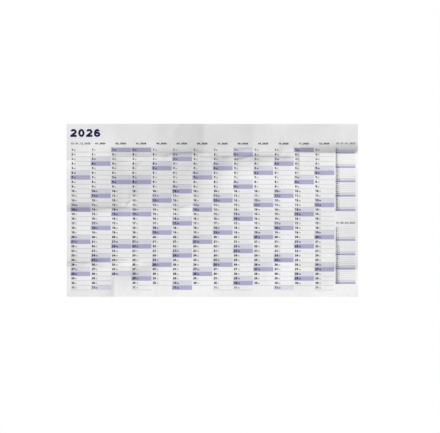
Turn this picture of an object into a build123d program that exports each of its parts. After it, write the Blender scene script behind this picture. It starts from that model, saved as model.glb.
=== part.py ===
"""Wall calendar: one paper sheet that was folded small and opened out again.

Frame in millimetres: X along the sheet's width, Z up, the printed front faces -Y.
The origin is the middle of the sheet on the wall plane y = 0. The panel round the origin
lies flat on that plane. The other panels tilt off it, and the creases are shallow grooves.
"""

import os

from build123d import *

# The cut sheet
SHEET_WIDTH = 1000.0
SHEET_HEIGHT = 594.0
PAPER_THICKNESS = 0.15

# Folds that run up the sheet, at an even pitch from its left edge
FOLD_PITCH = 157.0
FOLD_NEAR = 45.0  # reach of a fold's groove to its left
FOLD_FAR = 110.0  # reach of a fold's groove to its right
FOLD_GROOVES = (  # depth at the top edge and at the bottom edge, each gone by half the height
    (0.0, 0.6),
    (0.0, 0.0),
    (0.8, 0.0),
    (0.0, 0.0),
    (0.0, 0.0),
    (0.0, 0.0),
)

# Creases that run across the sheet. They wander, and jog where they pass a fold.
CREASE_LIP = 24.0  # steep side of the groove, above the crease
CREASE_FALL = 80.0  # gentle side of the groove, below the crease
LEAST_STEP = 2.0  # between neighbouring bends, where a side has less room than its length
# Each point: distance from the left edge, drop below the top edge, depth of the groove.
UPPER_CREASE = (
    (0.0, 118.0, 0.3),
    (30.0, 108.0, 0.2),
    (150.0, 106.0, 0.2),
    (175.0, 112.0, 1.0),
    (250.0, 112.0, 1.4),
    (430.0, 112.0, 1.3),
    (505.0, 121.0, 0.8),
    (530.0, 128.0, 1.0),
    (640.0, 128.0, 0.8),
    (700.0, 126.0, 0.5),
    (730.0, 112.0, 0.2),
    (745.0, 88.0, 0.1),
    (786.0, 88.0, 0.3),
    (800.0, 98.0, 1.4),
    (900.0, 97.0, 2.3),
    (1000.0, 97.0, 3.4),
)
MIDDLE_CREASE = (
    (0.0, 301.0, 2.0),
    (130.0, 301.0, 1.2),
    (210.0, 301.0, 0.6),
    (270.0, 290.0, 0.2),
    (340.0, 298.0, 0.3),
    (420.0, 287.0, 0.1),
    (471.0, 287.0, 0.0),
    (628.0, 289.0, 0.0),
    (700.0, 300.0, 0.3),
    (1000.0, 302.0, 0.4),
)
LOWER_CREASE = (
    (0.0, 491.0, 1.1),
    (140.0, 489.0, 0.7),
    (170.0, 476.0, 0.5),
    (210.0, 475.0, 0.4),
    (240.0, 505.0, 0.4),
    (290.0, 507.0, 0.3),
    (310.0, 491.0, 0.2),
    (430.0, 490.0, 0.1),
    (471.0, 484.0, 0.0),
    (628.0, 476.0, 0.0),
    (690.0, 475.0, 1.2),
    (770.0, 475.0, 0.9),
    (800.0, 490.0, 0.4),
    (860.0, 492.0, 0.4),
    (900.0, 502.0, 0.7),
    (1000.0, 500.0, 1.2),
)

# How far the panels' corners stand off the wall: at the left edge, at each fold, at the right edge
TOP_EDGE = (6.2, 9.4, 9.6, 5.9, 4.3, 4.6, 5.6, 6.6)
UPPER_CORNERS = (3.6, 6.5, 6.7, 2.9, 1.5, 2.0, 3.0, 3.8)
MIDDLE_CORNERS = (2.2, 1.0, 0.3, 0.0, 0.0, 2.6, 4.0, 4.4)
LOWER_CORNERS = (2.4, 1.4, 0.2, 0.0, 0.0, 2.8, 4.4, 4.8)
BOTTOM_EDGE = (3.4, 1.6, 0.3, 1.6, 2.2, 4.7, 6.3, 6.7)

FLAT = 1e-6  # a quad whose corners leave its plane by less than this is one flat face


def between(points, x):
    """Values along a path at a distance from its start, in straight runs."""
    for (x0, *first), (x1, *second) in zip(points, points[1:]):
        if x <= x1:
            share = (x - x0) / (x1 - x0)
            return [a + share * (b - a) for a, b in zip(first, second)]
    return points[-1][1:]


def folds_on_sheet():
    """Distance from the left edge and groove depths of each fold that the sheet's width holds."""
    places = [FOLD_PITCH * number for number in range(1, len(FOLD_GROOVES) + 1)]
    return [(x, depths) for x, depths in zip(places, FOLD_GROOVES) if x < SHEET_WIDTH]


def creases_on_sheet():
    """Path and corner heights of each crease that the sheet's height holds, from the top down."""
    creases = (
        (UPPER_CREASE, UPPER_CORNERS),
        (MIDDLE_CREASE, MIDDLE_CORNERS),
        (LOWER_CREASE, LOWER_CORNERS),
    )
    lowest = SHEET_HEIGHT - 2 * LEAST_STEP
    return [(path, corners) for path, corners in creases if max(drop for _, drop, _ in path) < lowest]


def stations():
    """Distances from the left edge at which the surface bends."""
    bends = [x for path, _ in creases_on_sheet() for x, _, _ in path]
    for x, depths in folds_on_sheet():
        bends += [x - FOLD_NEAR, x, x + FOLD_FAR] if any(depths) else [x]
    inner = {x for x in bends if 0.0 < x < SHEET_WIDTH}
    return sorted(inner | {0.0, SHEET_WIDTH})


def fold_groove(x, drop):
    """Depth of the folds' grooves at a point of the sheet."""
    section = ((-FOLD_NEAR, 0.0), (0.0, 1.0), (FOLD_FAR, 0.0))
    above_middle = 1.0 - 2.0 * drop / SHEET_HEIGHT
    total = 0.0
    for place, (top, bottom) in folds_on_sheet():
        if -FOLD_NEAR < x - place < FOLD_FAR:
            share, = between(section, x - place)
            total += share * (top * max(above_middle, 0.0) + bottom * max(-above_middle, 0.0))
    return total


def corner_height(corners, x):
    """How far a line of panel corners stands off the wall at one station."""
    places = [0.0] + [place for place, _ in folds_on_sheet()] + [SHEET_WIDTH]
    height, = between(list(zip(places, corners[:len(places) - 1] + corners[-1:])), x)
    return height


def column(x):
    """Points of the sheet's back from the top edge down, at one station."""
    panels = [(0.0, corner_height(TOP_EDGE, x))]
    bends = [(0.0, 0.0)]
    for path, corners in creases_on_sheet():
        drop, depth = between(path, x)
        panels.append((drop, corner_height(corners, x)))
        lip = max(drop - CREASE_LIP, bends[-1][0] + LEAST_STEP)
        foot = min(drop + CREASE_FALL, SHEET_HEIGHT - LEAST_STEP)
        bends += [(lip, 0.0), (drop, depth), (foot, 0.0)]
    panels.append((SHEET_HEIGHT, corner_height(BOTTOM_EDGE, x)))
    bends.append((SHEET_HEIGHT, 0.0))
    points = []
    for drop, depth in bends:
        panel, = between(panels, drop)
        height = max(panel - depth - fold_groove(x, drop), 0.0)
        points.append(Vector(x - SHEET_WIDTH / 2, -height, SHEET_HEIGHT / 2 - drop))
    return points


def facets(a, b, c, d):
    """One flat quad round four corners, or two triangles where the paper twists."""
    twist = (b - a).cross(d - a).dot(c - a)
    loops = ((a, b, c, d),) if abs(twist) < FLAT else ((a, b, c), (a, c, d))
    return [Face(Wire.make_polygon(loop, close=True)) for loop in loops]


def calendar_sheet():
    """The creased sheet: its back, its front one paper thickness nearer the reader, and its cut edges."""
    back = [column(x) for x in stations()]
    forward = Vector(0, -PAPER_THICKNESS, 0)
    front = [[point + forward for point in line] for line in back]
    faces = []
    for left, right, left_front, right_front in zip(back, back[1:], front, front[1:]):
        for k in range(len(left) - 1):
            faces += facets(left[k], right[k], right[k + 1], left[k + 1])
            faces += facets(left_front[k], right_front[k], right_front[k + 1], left_front[k + 1])
        for k in (0, -1):
            faces += facets(left[k], right[k], right_front[k], left_front[k])
    for line, line_front in ((back[0], front[0]), (back[-1], front[-1])):
        for k in range(len(line) - 1):
            faces += facets(line[k], line[k + 1], line_front[k + 1], line_front[k])
    return Solid(Shell(faces))


os.makedirs("parts", exist_ok=True)
export_step(calendar_sheet(), "parts/calendar_sheet.step")
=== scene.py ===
"""The wall calendar's looks: one creased paper sheet with its print, hung on a wall.

Lengths are millimetres unless a comment says otherwise. A place on the sheet is given as
(across, down): its distance from the left edge and from the top edge.
"""

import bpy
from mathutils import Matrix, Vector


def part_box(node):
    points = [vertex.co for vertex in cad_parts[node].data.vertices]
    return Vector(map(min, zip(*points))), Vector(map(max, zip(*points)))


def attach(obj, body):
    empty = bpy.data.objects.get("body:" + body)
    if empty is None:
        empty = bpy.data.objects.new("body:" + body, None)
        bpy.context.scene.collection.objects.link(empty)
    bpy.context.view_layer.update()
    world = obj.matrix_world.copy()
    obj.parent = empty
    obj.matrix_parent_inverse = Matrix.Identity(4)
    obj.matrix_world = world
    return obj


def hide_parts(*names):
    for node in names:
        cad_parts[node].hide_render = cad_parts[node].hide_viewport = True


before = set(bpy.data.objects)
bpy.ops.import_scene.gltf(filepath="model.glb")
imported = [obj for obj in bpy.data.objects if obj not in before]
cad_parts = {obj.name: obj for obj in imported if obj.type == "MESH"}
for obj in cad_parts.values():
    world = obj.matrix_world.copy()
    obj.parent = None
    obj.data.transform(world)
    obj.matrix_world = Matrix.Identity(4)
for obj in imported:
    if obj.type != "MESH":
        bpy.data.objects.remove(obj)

import calendar
import datetime
import math
from typing import NamedTuple

import bpy
import numpy as np
from mathutils import Vector
from mathutils.bvhtree import BVHTree
from mathutils.geometry import delaunay_2d_cdt


class RowStyle(NamedTuple):
    """Measures of a month's rows, with one row to a day."""

    pitch: float
    field_height: float
    rule_height: float
    number_cap: float
    number_inset: float


NODE = "calendar_sheet"
MM = 0.001  # in metres
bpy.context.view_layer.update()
SHEET_LOW, SHEET_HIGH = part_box(NODE)
WIDTH = (SHEET_HIGH[0] - SHEET_LOW[0]) / MM
HEIGHT = (SHEET_HIGH[2] - SHEET_LOW[2]) / MM
PAPER_THICKNESS = 0.15

# Mesh of the sheet
SOLID_STEP = 2.5  # between the places where the solid is measured
EDGE_INSET = 0.05  # how far inside the cut edge the solid is measured
RAY_START = -1.0  # in metres, in front of the sheet
LIP_SOFTENING = 7.0  # blur of the grooves' lips
BLUR_REACH = 3  # times the blur
COLUMN_STEP = 4.0
ROW_STEP = 5.5
FINE_ROW_STEP = 1.6
FINE_BANDS = ((78, 136), (240, 306), (462, 512))  # from and to, down the sheet
SHARP_EDGE = 40.0  # degrees

# Small wrinkles, and low ridges where the depth is negative:
# both ends of the line, depth, reach to the line's left and to its right
WRINKLES = (
    ((514, 116), (578, 115), 0.8, 4, 70),
    ((528, 121), (592, 121), 0.3, 7, 40),
    ((572, 126), (636, 111), 0.9, 4, 36),
    ((560, 110), (650, 110), -0.35, 9, 12),
    ((625, 112), (745, 115), 0.6, 5, 45),
    ((600, 104), (770, 104), -0.8, 25, 60),
    ((590, 104), (670, 104), -0.35, 20, 60),
    ((716, 117), (788, 116), 0.9, 5, 70),
    ((592, 87), (644, 86), 0.5, 5, 15),
    ((354, 105), (490, 98), 0.6, 5, 20),
    ((300, 113), (520, 113), -0.4, 8, 60),
    ((430, 112), (520, 112), -0.3, 9, 40),
    ((280, 128), (500, 128), -0.6, 16, 150),
    ((334, 114), (372, 102), 0.4, 5, 20),
    ((170, 112), (300, 113), 0.2, 5, 12),
    ((150, 128), (290, 128), -0.4, 14, 120),
    ((168, 130), (226, 129), 0.3, 4, 20),
    ((232, 156), (262, 129), 0.35, 5, 12),
    ((-40, 112), (170, 112), -0.35, 12, 14),
    ((-25, 126), (24, 124), 0.6, 5, 20),
    ((780, 101), (1080, 101), 0.8, 8, 40),
    ((640, 150), (640, -40), 0.4, 16, 60),
    ((392, -10), (345, 75), -0.5, 40, 30),
    ((436, 330), (436, 170), -1.0, 40, 200),
    ((505, 320), (505, 120), -0.6, 45, 200),
    ((200, 284), (232, 256), 0.6, 5, 15),
    ((190, 284), (183, 254), 0.3, 5, 12),
    ((219, 262), (219, 236), 0.5, 4, 12),
    ((378, 291), (440, 276), 0.4, 4, 30),
    ((80, 294), (164, 291), 0.45, 5, 30),
    ((80, 302), (220, 300), -0.35, 6, 60),
    ((128, 290), (222, 286), 0.3, 4, 60),
    ((168, 293), (230, 292), 0.4, 4, 10),
    ((540, 290), (900, 296), -0.7, 30, 200),
    ((300, 292), (1000, 294), -0.9, 60, 250),
    ((700, 296), (1060, 298), -0.4, 30, 300),
    ((640, 474), (990, 478), -0.5, 25, 60),
    ((195, 380), (195, 90), 0.5, 35, 150),
    ((345, 215), (485, 55), -0.5, 60, 250),
    ((-30, 477), (92, 480), 0.5, 5, 36),
    ((40, 479), (92, 481), 0.3, 4, 20),
    ((86, 474), (150, 472), 0.6, 8, 40),
    ((166, 466), (224, 474), 0.75, 3, 16),
    ((228, 474), (264, 468), 0.4, 3, 16),
    ((226, 503), (300, 505), 0.4, 6, 20),
    ((163, 640), (163, 520), 0.7, 12, 60),
    ((162, 630), (162, 512), 0.25, 4, 12),
)
# Soft bulges, and dents where the height is negative: middle, reach across and down, height
DENTS = (
    ((235, 560), (45, 45), -1.2),
    ((700, 30), (45, 90), -1.3),
    ((600, 158), (130, 45), -1.3),
    ((420, 230), (60, 45), -0.6),
    ((130, 118), (45, 30), 0.5),
    ((190, 150), (60, 45), 1.2),
    ((600, 122), (85, 16), 0.7),
    ((250, 492), (50, 17), 0.7),
    ((925, 178), (55, 22), -0.6),
    ((297, 435), (35, 30), -0.3),
    ((325, 500), (40, 16), -0.25),
    ((780, 515), (80, 45), 0.8),
    ((770, 640), (110, 90), -2.6),
    ((70, 640), (90, 80), -1.0),
)
# Slow waves of the paper: wavelength, direction in degrees, height
WAVES = ((310, 20, 0.20), (190, 105, 0.14), (120, 60, 0.08), (84, 150, 0.05))

# Print layout: columns, rows and headings of the months
FIRST_COLUMN = 13.0
COLUMN_PITCH = 69.82
COLUMN_WIDTH = 68.3
ROWS_TOP = 80.9
FULL_ROWS = RowStyle(pitch=15.78, field_height=15.2, rule_height=0.5, number_cap=7.6, number_inset=3.0)
WEEKEND_GROWTH = 1.06  # of the numbers in tinted fields
SINGLE_SHIFT = 0.8  # of a number with one digit
NUMBER_DROP = 7.6  # from the top of a full row to the middle of the number
WEEK_CAP = 4.8  # in a full row
WEEK_GAP = 1.2
WEEK_DROP = 8.9  # from the top of a full row to the middle of the week
HEADING_CAP = 6.2
HEADING_DROP = 67.4  # from the top of the sheet to the middle of the headings
HEADING_INSET = 3.0  # of the headings of other years
LEAST_STRIP = 0.05  # of a field, between its edge and a line of the sheet's mesh

# The two months of the next year share the last column, in smaller rows.
SMALL_COLUMN = 923.0
SMALL_ROWS = RowStyle(pitch=7.04, field_height=6.6, rule_height=0.3, number_cap=4.9, number_inset=0.8)
SMALL_MONTHS = ((1, 67.0, 81.0), (2, 339.5, 352.5))  # month, drop of its heading, top of its rows

# The large year
YEAR = 2026
YEAR_CAP = 27.0
YEAR_LEFT = 13.2
YEAR_DROP = 31.3  # from the top of the sheet to the middle of the year
YEAR_PITCH = 27.1

# Digits: widths, gaps, pitch and strokes as shares of the cap height
DIGIT_WIDTH = 0.67
DIGIT_GAP = 0.08
DIGIT_PITCH = DIGIT_WIDTH + DIGIT_GAP
HEADING_PITCH = 0.82
YEAR_DIGIT_WIDTH = 0.80
BOLD = 0.29
REGULAR = 0.115
LIGHT_HEADING = 0.20
YEAR_WEIGHT = 0.26
DOT_GROWTH = 1.2  # of a full stop, against the stroke
RING_OVERLAP = 8  # degrees, of the strokes that close a ring
STROKE_STEPS = 8
YEAR_STROKE_STEPS = 24
MERGE_DISTANCE = 1e-5  # of points where strokes cross
INSIDE_ONLY = 1  # delaunay_2d_cdt's number for triangles within the outlines

# Height of each layer of print over the paper
FIELD_LIFT = 0.05
RULE_LIFT = 0.07
NUMBER_LIFT = 0.10

# Colours, linear
PAPER_LIGHT = (0.881, 0.880, 0.881)
PAPER_DARK = (0.846, 0.847, 0.850)
SATURDAY = (0.690, 0.697, 0.785)
SUNDAY = (0.426, 0.416, 0.585)
NAVY = (0.002, 0.003, 0.055)
BLACK = (0.010, 0.010, 0.012)
RULE_GREY = (0.16, 0.16, 0.175)
FLOOR_GREY = (0.8, 0.8, 0.8)
WHITE = (1, 1, 1)

# Surfaces. Noise is given as spots to the metre and detail.
CLOUDS = (60, 6)
CLOUD_RANGE = (0.3, 0.7)  # of the noise, over which the paper goes from dark to light
SPECKS = (700, 3)
SPECK_RANGE = (0.45, 0.8)  # of the noise, over which the ink thins out
FIBRES = (900, 4)
FIBRE_BUMP = 0.12  # strength
FIBRE_HEIGHT = 0.0002  # in metres
SPECULAR = 0.12
PAPER_ROUGHNESS = (0.72, 0.9)
INK_ROUGHNESS = (0.6, 0.8)
FLOOR_ROUGHNESS = 0.9
# How far each ink goes towards the paper's colour where it is thinnest
NUMBER_THINNING = 0.03
RULE_THINNING = 0.10
SATURDAY_THINNING = 0.12
SUNDAY_THINNING = 0.08

# Camera, light and floor, in metres apart from the lens
CAMERA_PLACE = (0.0268, -4.0, -0.021)
CAMERA_LENS = 95.2
KEY_PLACE = (-6.75, -1.17, 5.83)
KEY_STRENGTH = 12.1
BACK_PLACE = (6.2, 1.7, 5.0)
BACK_STRENGTH = 6.4
SUN_ANGLE = 10.0  # degrees
AMBIENT = 0.361
FLOOR_LEVEL = -1.8
FLOOR_RADIUS = 1.2
FLOOR_CORNERS = 96
FADE_START = 0.5  # of the floor's radius


def wrinkle(across, down, start, end, depth, left, right):
    """Depth of a small crease along a line, sharp at its bottom, with its two sides' reach."""
    (x0, y0), (x1, y1) = start, end
    length = math.hypot(x1 - x0, y1 - y0)
    along = ((across - x0) * (x1 - x0) + (down - y0) * (y1 - y0)) / length
    aside = ((across - x0) * (y1 - y0) - (down - y0) * (x1 - x0)) / length
    taper = np.sin(math.pi * np.clip(along / length, 0, 1))
    return depth * taper * np.exp(-np.where(aside > 0, aside / left, -aside / right))


def dent(across, down, middle, reach, height):
    """Height of a soft bulge, or of a dent where it is negative."""
    x, y = (across - middle[0]) / reach[0], (down - middle[1]) / reach[1]
    return height * np.exp(-0.5 * (x * x + y * y))


def waves(across, down):
    """Slow unevenness of the paper, nowhere below zero."""
    total = np.zeros_like(across)
    for length, direction, height in WAVES:
        turn = math.radians(direction)
        phase = (across * math.cos(turn) + down * math.sin(turn)) / length
        total += height * (1 + np.sin(2 * math.pi * phase))
    return total


def blurred(heights, cells):
    """A Gaussian blur of the height map, in cells of its grid."""
    reach = math.ceil(BLUR_REACH * cells)
    weights = np.exp(-0.5 * (np.arange(-reach, reach + 1) / cells) ** 2)
    weights /= weights.sum()
    for axis in (0, 1):
        padding = [(0, 0), (0, 0)]
        padding[axis] = (reach, reach)
        padded = np.pad(heights, padding, mode="edge")
        size = heights.shape[axis]
        heights = sum(w * np.take(padded, range(k, k + size), axis) for k, w in enumerate(weights))
    return heights


class Relief:
    """Heights of the printed front over a grid of places, straight between them."""

    def __init__(self, columns, rows, heights_at):
        self.columns = columns
        self.rows = rows
        self.across, self.down = np.meshgrid(columns, rows)
        self.heights = heights_at(self.across, self.down)

    def at(self, across, down):
        """Heights at any places on the sheet."""
        def split(lines, places):
            cell = np.clip(np.searchsorted(lines, places, "right") - 1, 0, len(lines) - 2)
            return cell, (places - lines[cell]) / (lines[cell + 1] - lines[cell])

        i, s = split(self.columns, across)
        j, t = split(self.rows, down)
        upper = self.heights[j, i] * (1 - s) + self.heights[j, i + 1] * s
        lower = self.heights[j + 1, i] * (1 - s) + self.heights[j + 1, i + 1] * s
        return upper * (1 - t) + lower * t


def lines_between(start, end, step):
    """Places at an even step or a little less, without the last."""
    return np.linspace(start, end, math.ceil((end - start) / step), endpoint=False)


def solid_heights(across, down):
    """How far the solid's front stands off the wall plane, found with rays, with softened lips."""
    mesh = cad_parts[NODE].data
    tree = BVHTree.FromPolygons([v.co for v in mesh.vertices], [p.vertices for p in mesh.polygons])
    ahead = Vector((0, 1, 0))
    heights = np.zeros_like(across)
    inner_across = np.clip(across, EDGE_INSET, WIDTH - EDGE_INSET)
    inner_down = np.clip(down, EDGE_INSET, HEIGHT - EDGE_INSET)
    for place in np.ndindex(across.shape):
        x = SHEET_LOW[0] + inner_across[place] * MM
        z = SHEET_HIGH[2] - inner_down[place] * MM
        hit, _, _, _ = tree.ray_cast(Vector((x, RAY_START, z)), ahead)
        heights[place] = -hit.y / MM
    return np.minimum(heights, blurred(heights, LIP_SOFTENING / SOLID_STEP))


def solid_relief():
    """The solid's front on an even grid."""
    def even(size):
        return np.append(lines_between(0, size, SOLID_STEP), size)

    return Relief(even(WIDTH), even(HEIGHT), solid_heights)


def sheet_relief():
    """The solid's relief with the waves, dents and small wrinkles of the paper."""
    solid = solid_relief()

    def wrinkled(across, down):
        heights = solid.at(across, down) + waves(across, down)
        for place_and_size in DENTS:
            heights += dent(across, down, *place_and_size)
        for line_and_size in WRINKLES:
            heights -= wrinkle(across, down, *line_and_size)
        return np.maximum(heights, PAPER_THICKNESS)

    rows, last = [], 0.0
    for top, bottom in FINE_BANDS:
        rows += [lines_between(last, top, ROW_STEP), lines_between(top, bottom, FINE_ROW_STEP)]
        last = bottom
    rows += [lines_between(last, HEIGHT, ROW_STEP), [HEIGHT]]
    columns = np.append(lines_between(0, WIDTH, COLUMN_STEP), WIDTH)
    return Relief(columns, np.concatenate(rows), wrinkled)


FRONT = sheet_relief()


def positions(across, down, height):
    """Points in the frame, in metres, for places on the sheet."""
    x = SHEET_LOW[0] + np.ravel(across) * MM
    z = SHEET_HIGH[2] - np.ravel(down) * MM
    return np.column_stack((x, -np.ravel(height) * MM, z))


def grid_faces(columns, rows):
    """Quads that face the reader, for points that run across and then down."""
    corner = (np.arange(rows)[:, None] * (columns + 1) + np.arange(columns)).ravel()
    below = corner + columns + 1
    return np.column_stack((below, below + 1, corner + 1, corner))


def make_piece(name, points, faces, material):
    """A smooth mesh piece that rides on the sheet's body."""
    mesh = bpy.data.meshes.new(name)
    mesh.from_pydata(points.tolist(), [], faces)
    mesh.validate()
    mesh.polygons.foreach_set("use_smooth", [True] * len(mesh.polygons))
    mesh.set_sharp_from_angle(angle=math.radians(SHARP_EDGE))
    mesh.materials.append(material)
    piece = bpy.data.objects.new(name, mesh)
    bpy.context.scene.collection.objects.link(piece)
    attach(piece, "root")
    return piece


def paper_sheet(material):
    """The sheet: its printed front, its back and its cut edges."""
    front = positions(FRONT.across, FRONT.down, FRONT.heights)
    back = positions(FRONT.across, FRONT.down, FRONT.heights - PAPER_THICKNESS)
    count = len(front)
    front_faces = grid_faces(len(FRONT.columns) - 1, len(FRONT.rows) - 1)
    back_faces = front_faces[:, ::-1] + count
    grid = np.arange(count).reshape(FRONT.across.shape)
    rim = np.concatenate((grid[0, :-1], grid[:-1, -1], grid[-1, :0:-1], grid[:0:-1, 0]))
    following = np.roll(rim, -1)
    edge_faces = np.column_stack((rim, following, following + count, rim + count))
    faces = np.concatenate((front_faces, back_faces, edge_faces)).tolist()
    return make_piece("printed_sheet", np.concatenate((front, back)), faces, material)


class Print:
    """Flat shapes of one ink, laid on the relief and gathered up as one piece."""

    def __init__(self, lift):
        self.lift = lift
        self.points = []
        self.faces = []
        self.count = 0

    def add(self, across, down, faces):
        """Points on the relief, with the faces between them."""
        height = FRONT.at(across, down) + self.lift
        self.points.append(positions(across, down, height))
        self.faces += (np.asarray(faces) + self.count).tolist()
        self.count += np.size(across)

    def field(self, left, top, width, height):
        """A rectangle, divided along the lines of the sheet's own mesh."""
        def lines(start, size, own):
            inside = own[(own > start + LEAST_STRIP) & (own < start + size - LEAST_STRIP)]
            return np.concatenate(([start], inside, [start + size]))

        x = lines(left, width, FRONT.columns)
        y = lines(top, height, FRONT.rows)
        across, down = np.meshgrid(x, y)
        self.add(across.ravel(), down.ravel(), grid_faces(len(x) - 1, len(y) - 1))

    def number(self, text, left, middle, cap, glyphs, pitch):
        """Digits in a row, from their left edge, about a middle line."""
        for place, sign in enumerate(text):
            points, faces = glyphs[sign]
            across = left + (points[:, 0] + place * pitch) * cap
            down = middle + (0.5 - points[:, 1]) * cap
            self.add(across, down, faces)

    def piece(self, name, material):
        """All its shapes as one mesh."""
        return make_piece(name, np.concatenate(self.points), self.faces, material)


def line(start, end, steps):
    """Points along a straight stroke."""
    share = np.linspace(0, 1, steps + 1)[:, None]
    return np.asarray(start) * (1 - share) + np.asarray(end) * share


def arc(middle, radii, start, end, steps):
    """Points along an ellipse, between two angles in degrees."""
    turn = np.radians(np.linspace(start, end, steps + 1))
    return np.column_stack((middle[0] + radii[0] * np.cos(turn), middle[1] + radii[1] * np.sin(turn)))


def ring(middle, radii, steps):
    """A closed ellipse as two strokes that overlap at its top and bottom."""
    top, bottom = 90 - RING_OVERLAP, 270 + RING_OVERLAP
    return [arc(middle, radii, top - turn, bottom - turn, steps) for turn in (0, 180)]


def digit_strokes(width, weight, steps):
    """Middle lines of the strokes of each digit, one cap height tall."""
    half = weight / 2
    middle, side, top = width / 2, width / 2 - half, 1 - half
    # Upper and lower bowl of 3 and 8
    waist, narrowing = 0.53, 0.93
    upper, upper_radii = (middle, (top + waist) / 2), (side * narrowing, (top - waist) / 2)
    lower, lower_radii = (middle, (waist + half) / 2), (side, (waist - half) / 2)
    # Bowl of 5, 6 and 9, and the shoulder of 6 and 9 over it
    bowl_height = 0.33
    bowl, bowl_radii = (middle, bowl_height), (side, bowl_height - half)
    shoulder = arc((middle, 0.5), (side, 0.5 - half), 180, 38, steps)
    back = np.concatenate(([[middle - side, bowl_height]], shoulder))
    six = [back] + ring(bowl, bowl_radii, steps)
    # Crook of 2, stem of 1, post and bar of 4, corner of 5, and the left end of slanting strokes
    crook_height = 0.8 * side
    crook = arc((middle, top - crook_height), (side, crook_height), 165, -40, steps)
    stem, post, bar, corner = 0.6 * width, 0.7 * width, 0.28, 0.12 * width
    tip = half * 0.8
    dot = half * DOT_GROWTH
    return {
        "0": ring((middle, 0.5), (side, 0.5 - half), steps),
        "1": [line((stem, 0), (stem, 1), steps),
              line((stem, top), (0.14 * width, 0.78), 2)],
        "2": [np.concatenate((crook, [[tip, half]])),
              line((0, half), (width, half), steps)],
        "3": [arc(upper, upper_radii, 155, -90 - RING_OVERLAP, steps),
              arc(lower, lower_radii, 90 + RING_OVERLAP, -155, steps)],
        "4": [line((post, 0), (post, 1), steps),
              line((0, bar), (width, bar), steps),
              line((post - half / 2, top), (tip, bar), steps)],
        "5": [line((corner, top), (0.94 * width, top), steps),
              line((corner + half, top), (0.08 * width + half, 0.46), steps),
              arc(bowl, bowl_radii, 140, -155, steps)],
        "6": six,
        "7": [line((0, top), (width, top), steps),
              line((width - half, top), (0.34 * width, 0), steps)],
        "8": ring(upper, upper_radii, steps) + ring(lower, lower_radii, steps),
        "9": [[[width, 1]] - stroke for stroke in six],
        ".": [line((middle - dot, dot), (middle + dot, dot), 1)],
        "-": [line((0.1 * width, 0.45), (0.9 * width, 0.45), 1)],
    }


def outline(stroke, weight):
    """The edge of a stroke of even weight, counterclockwise."""
    along = np.gradient(stroke, axis=0)
    along /= np.linalg.norm(along, axis=1)[:, None]
    aside = np.column_stack((-along[:, 1], along[:, 0])) * weight / 2
    return np.concatenate((stroke - aside, (stroke + aside)[::-1]))


def make_glyphs(width, weight, steps):
    """Points and triangles of each digit, its strokes merged into one outline."""
    glyphs = {}
    for sign, strokes in digit_strokes(width, weight, steps).items():
        edges = [outline(stroke, weight * (DOT_GROWTH if sign == "." else 1)) for stroke in strokes]
        starts = np.cumsum([0] + [len(edge) for edge in edges])
        loops = [list(range(a, b)) for a, b in zip(starts, starts[1:])]
        corners = [Vector(point) for edge in edges for point in edge]
        merged = delaunay_2d_cdt(corners, [], loops, INSIDE_ONLY, MERGE_DISTANCE)
        points, _, faces, _, _, owners = merged
        inked = [face for face, owner in zip(faces, owners) if owner]
        glyphs[sign] = np.array([tuple(point) for point in points]), inked
    return glyphs


def lay_day(prints, glyphs, date, left, row, style):
    """One day's row: its tinted field or the rule under it, its number and the number of its week."""
    weekend = date.weekday() >= calendar.SATURDAY
    if weekend:
        fields = "saturday_fields" if date.weekday() == calendar.SATURDAY else "sunday_fields"
        field_top = row + style.pitch - style.field_height
        prints[fields].field(left, field_top, COLUMN_WIDTH, style.field_height)
    else:
        prints["row_rules"].field(left, row + style.pitch, COLUMN_WIDTH, style.rule_height)
    ink = prints["weekend_numbers" if weekend else "weekday_numbers"]
    text = str(date.day)
    cap = style.number_cap * (WEEKEND_GROWTH if weekend else 1)
    start = left + style.number_inset + (SINGLE_SHIFT if len(text) == 1 else 0)
    middle = row + NUMBER_DROP * style.pitch / FULL_ROWS.pitch
    ink.number(text, start, middle, cap, glyphs["bold"], DIGIT_PITCH)
    _, week, _ = date.isocalendar()
    week_cap = WEEK_CAP * style.number_cap / FULL_ROWS.number_cap
    week_start = start + len(text) * DIGIT_PITCH * cap + WEEK_GAP
    week_middle = row + WEEK_DROP * style.pitch / FULL_ROWS.pitch
    week_glyphs = glyphs["bold" if weekend else "regular"]
    ink.number(f"{week:02d}", week_start, week_middle, week_cap, week_glyphs, DIGIT_PITCH)


def lay_month(prints, glyphs, year, month, left, top, style):
    """The rows of one month."""
    _, days = calendar.monthrange(year, month)
    for day in range(1, days + 1):
        row = top + (day - 1) * style.pitch
        lay_day(prints, glyphs, datetime.date(year, month, day), left, row, style)


def lay_heading(prints, glyphs, year, month, left, drop):
    """Month and year over a column, with the days before them where the year is another."""
    text = f"{month:02d}.{year}"
    if year == YEAR:
        weight = "bold"
        start = left + (COLUMN_WIDTH - len(text) * HEADING_PITCH * HEADING_CAP) / 2
    else:
        _, days = calendar.monthrange(year, month)
        text = f"01-{days}.{text}"
        weight = "light"
        start = left + HEADING_INSET
    prints["headings"].number(text, start, drop, HEADING_CAP, glyphs[weight], HEADING_PITCH)


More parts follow.
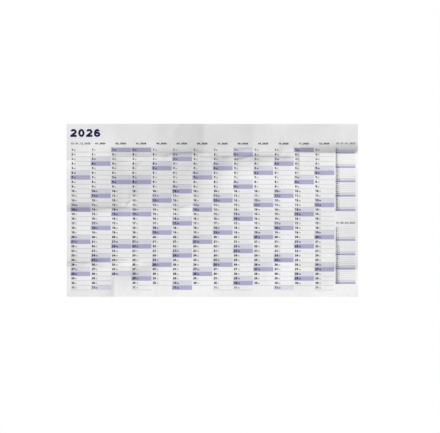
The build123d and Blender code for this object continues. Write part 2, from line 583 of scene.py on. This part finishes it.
def lay_print():
    """All shapes of the print, by the name of their piece."""
    prints = {
        "saturday_fields": Print(FIELD_LIFT),
        "sunday_fields": Print(FIELD_LIFT),
        "row_rules": Print(RULE_LIFT),
        "weekday_numbers": Print(NUMBER_LIFT),
        "weekend_numbers": Print(NUMBER_LIFT),
        "headings": Print(NUMBER_LIFT),
    }
    glyphs = {
        "bold": make_glyphs(DIGIT_WIDTH, BOLD, STROKE_STEPS),
        "regular": make_glyphs(DIGIT_WIDTH, REGULAR, STROKE_STEPS),
        "light": make_glyphs(DIGIT_WIDTH, LIGHT_HEADING, STROKE_STEPS),
    }
    months = [(YEAR - 1, 12)] + [(YEAR, month) for month in range(1, 13)]
    for column, (year, month) in enumerate(months):
        left = FIRST_COLUMN + column * COLUMN_PITCH
        lay_month(prints, glyphs, year, month, left, ROWS_TOP, FULL_ROWS)
        lay_heading(prints, glyphs, year, month, left, HEADING_DROP)
    for month, heading_drop, rows_top in SMALL_MONTHS:
        lay_month(prints, glyphs, YEAR + 1, month, SMALL_COLUMN, rows_top, SMALL_ROWS)
        lay_heading(prints, glyphs, YEAR + 1, month, SMALL_COLUMN, heading_drop)
    large = make_glyphs(YEAR_DIGIT_WIDTH, YEAR_WEIGHT, YEAR_STROKE_STEPS)
    prints["headings"].number(str(YEAR), YEAR_LEFT, YEAR_DROP, YEAR_CAP, large, YEAR_PITCH / YEAR_CAP)
    return prints


def new_material(name):
    """A new node material, with its nodes, a way to join them and its shader."""
    material = bpy.data.materials.new(name)
    material.use_nodes = True
    nodes = material.node_tree.nodes
    return material, nodes, material.node_tree.links.new, nodes["Principled BSDF"]


def add_noise(nodes, link, place, scale, detail):
    """Noise of a given number of spots to the metre."""
    noise = nodes.new("ShaderNodeTexNoise")
    noise.inputs["Scale"].default_value = scale
    noise.inputs["Detail"].default_value = detail
    link(place.outputs["Object"], noise.inputs["Vector"])
    return noise.outputs["Fac"]


def add_ramp(nodes, link, factor, low, high, start, end):
    """Runs between two colours as a factor goes from start to end."""
    ramp = nodes.new("ShaderNodeValToRGB")
    first, last = ramp.color_ramp.elements
    first.position, last.position = start, end
    first.color, last.color = (*low, 1), (*high, 1)
    link(factor, ramp.inputs["Fac"])
    return ramp.outputs["Color"]


def add_surface(nodes, link, place, shader, low, high):
    """Fibres of the paper under any ink: roughness and a fine bump."""
    fibres = add_noise(nodes, link, place, *FIBRES)
    spread = nodes.new("ShaderNodeMapRange")
    spread.inputs["To Min"].default_value = low
    spread.inputs["To Max"].default_value = high
    link(fibres, spread.inputs["Value"])
    link(spread.outputs["Result"], shader.inputs["Roughness"])
    bump = nodes.new("ShaderNodeBump")
    bump.inputs["Strength"].default_value = FIBRE_BUMP
    bump.inputs["Distance"].default_value = FIBRE_HEIGHT
    link(fibres, bump.inputs["Height"])
    link(bump.outputs["Normal"], shader.inputs["Normal"])
    shader.inputs["Specular IOR Level"].default_value = SPECULAR


def paper_material():
    """White uncoated paper, a little cloudy when looked at closely."""
    material, nodes, link, shader = new_material("paper")
    place = nodes.new("ShaderNodeTexCoord")
    clouds = add_noise(nodes, link, place, *CLOUDS)
    colour = add_ramp(nodes, link, clouds, PAPER_DARK, PAPER_LIGHT, *CLOUD_RANGE)
    link(colour, shader.inputs["Base Color"])
    add_surface(nodes, link, place, shader, *PAPER_ROUGHNESS)
    return material


def ink_material(name, full, thinning):
    """Ink soaked into paper, lighter where less of it took."""
    material, nodes, link, shader = new_material(name)
    place = nodes.new("ShaderNodeTexCoord")
    specks = add_noise(nodes, link, place, *SPECKS)
    thin = tuple(c + (p - c) * thinning for c, p in zip(full, PAPER_LIGHT))
    colour = add_ramp(nodes, link, specks, full, thin, *SPECK_RANGE)
    link(colour, shader.inputs["Base Color"])
    add_surface(nodes, link, place, shader, *INK_ROUGHNESS)
    return material


def build_object():
    """The sheet and its print, made as pieces that ride on one body."""
    sheet = paper_sheet(paper_material())
    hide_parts(NODE)
    black = ink_material("black_ink", BLACK, NUMBER_THINNING)
    navy = ink_material("navy_ink", NAVY, NUMBER_THINNING)
    materials = {
        "saturday_fields": ink_material("saturday_tint", SATURDAY, SATURDAY_THINNING),
        "sunday_fields": ink_material("sunday_tint", SUNDAY, SUNDAY_THINNING),
        "row_rules": ink_material("rule_ink", RULE_GREY, RULE_THINNING),
        "weekday_numbers": black,
        "weekend_numbers": navy,
        "headings": navy,
    }
    inks = [shapes.piece(name, materials[name]) for name, shapes in lay_print().items()]


def aim(thing, target):
    """Turns a lamp or camera to look at a point."""
    way = Vector(target) - thing.location
    thing.rotation_euler = way.to_track_quat("-Z", "Y").to_euler()


def add_camera():
    """A camera that looks straight at the wall."""
    camera = bpy.data.objects.new("camera", bpy.data.cameras.new("camera"))
    bpy.context.scene.collection.objects.link(camera)
    camera.location = CAMERA_PLACE
    camera.data.lens = CAMERA_LENS
    x, _, z = CAMERA_PLACE
    aim(camera, (x, 0, z))
    bpy.context.scene.camera = camera


def add_lamp(name, place, strength):
    """A soft and even light from the direction of a place."""
    light = bpy.data.lights.new(name, "SUN")
    light.angle = math.radians(SUN_ANGLE)
    light.energy = strength
    lamp = bpy.data.objects.new(name, light)
    bpy.context.scene.collection.objects.link(lamp)
    lamp.location = place
    aim(lamp, (0, 0, 0))


def sees_background(nodes, link):
    """1 for rays that show the background, straight or in a reflection, and 0 for the rest."""
    path = nodes.new("ShaderNodeLightPath")
    total = path.outputs["Is Camera Ray"]
    for ray in ("Is Glossy Ray", "Is Transmission Ray"):
        either = nodes.new("ShaderNodeMath")
        either.operation = "MAXIMUM"
        link(total, either.inputs[0])
        link(path.outputs[ray], either.inputs[1])
        total = either.outputs[0]
    return total


def set_world():
    """White to look at, with an even grey light."""
    world = bpy.data.worlds.new("studio")
    world.use_nodes = True
    bpy.context.scene.world = world
    nodes, link = world.node_tree.nodes, world.node_tree.links.new
    light = nodes["Background"]
    light.inputs["Color"].default_value = (*WHITE, 1)
    light.inputs["Strength"].default_value = AMBIENT
    white = nodes.new("ShaderNodeBackground")
    white.inputs["Color"].default_value = (*WHITE, 1)
    mix = nodes.new("ShaderNodeMixShader")
    link(sees_background(nodes, link), mix.inputs["Fac"])
    link(light.outputs["Background"], mix.inputs[1])
    link(white.outputs["Background"], mix.inputs[2])
    link(mix.outputs["Shader"], nodes["World Output"].inputs["Surface"])


def floor_material():
    """Pale grey that turns clear towards the floor's rim."""
    material, nodes, link, shader = new_material("floor")
    shader.inputs["Base Color"].default_value = (*FLOOR_GREY, 1)
    shader.inputs["Roughness"].default_value = FLOOR_ROUGHNESS
    place = nodes.new("ShaderNodeTexCoord")
    reach = nodes.new("ShaderNodeVectorMath")
    reach.operation = "LENGTH"
    link(place.outputs["Object"], reach.inputs[0])
    fade = nodes.new("ShaderNodeMapRange")
    fade.inputs["From Min"].default_value = math.hypot(FADE_START * FLOOR_RADIUS, FLOOR_LEVEL)
    fade.inputs["From Max"].default_value = math.hypot(FLOOR_RADIUS, FLOOR_LEVEL)
    link(reach.outputs["Value"], fade.inputs["Value"])
    clear = nodes.new("ShaderNodeBsdfTransparent")
    mix = nodes.new("ShaderNodeMixShader")
    link(fade.outputs["Result"], mix.inputs["Fac"])
    link(shader.outputs["BSDF"], mix.inputs[1])
    link(clear.outputs["BSDF"], mix.inputs[2])
    link(mix.outputs["Shader"], nodes["Material Output"].inputs["Surface"])
    return material


def add_floor():
    """A pale round floor below the sheet, which fades to white at its rim."""
    turn = np.arange(FLOOR_CORNERS) * 2 * math.pi / FLOOR_CORNERS
    level = np.full(FLOOR_CORNERS, FLOOR_LEVEL)
    points = np.column_stack((FLOOR_RADIUS * np.cos(turn), FLOOR_RADIUS * np.sin(turn), level))
    mesh = bpy.data.meshes.new("floor")
    mesh.from_pydata(points.tolist(), [], [list(range(FLOOR_CORNERS))])
    mesh.materials.append(floor_material())
    floor = bpy.data.objects.new("floor", mesh)
    bpy.context.scene.collection.objects.link(floor)


build_object()
add_camera()
add_lamp("key", KEY_PLACE, KEY_STRENGTH)
add_lamp("back", BACK_PLACE, BACK_STRENGTH)
set_world()
add_floor()
bpy.context.scene.view_settings.view_transform = "Standard"
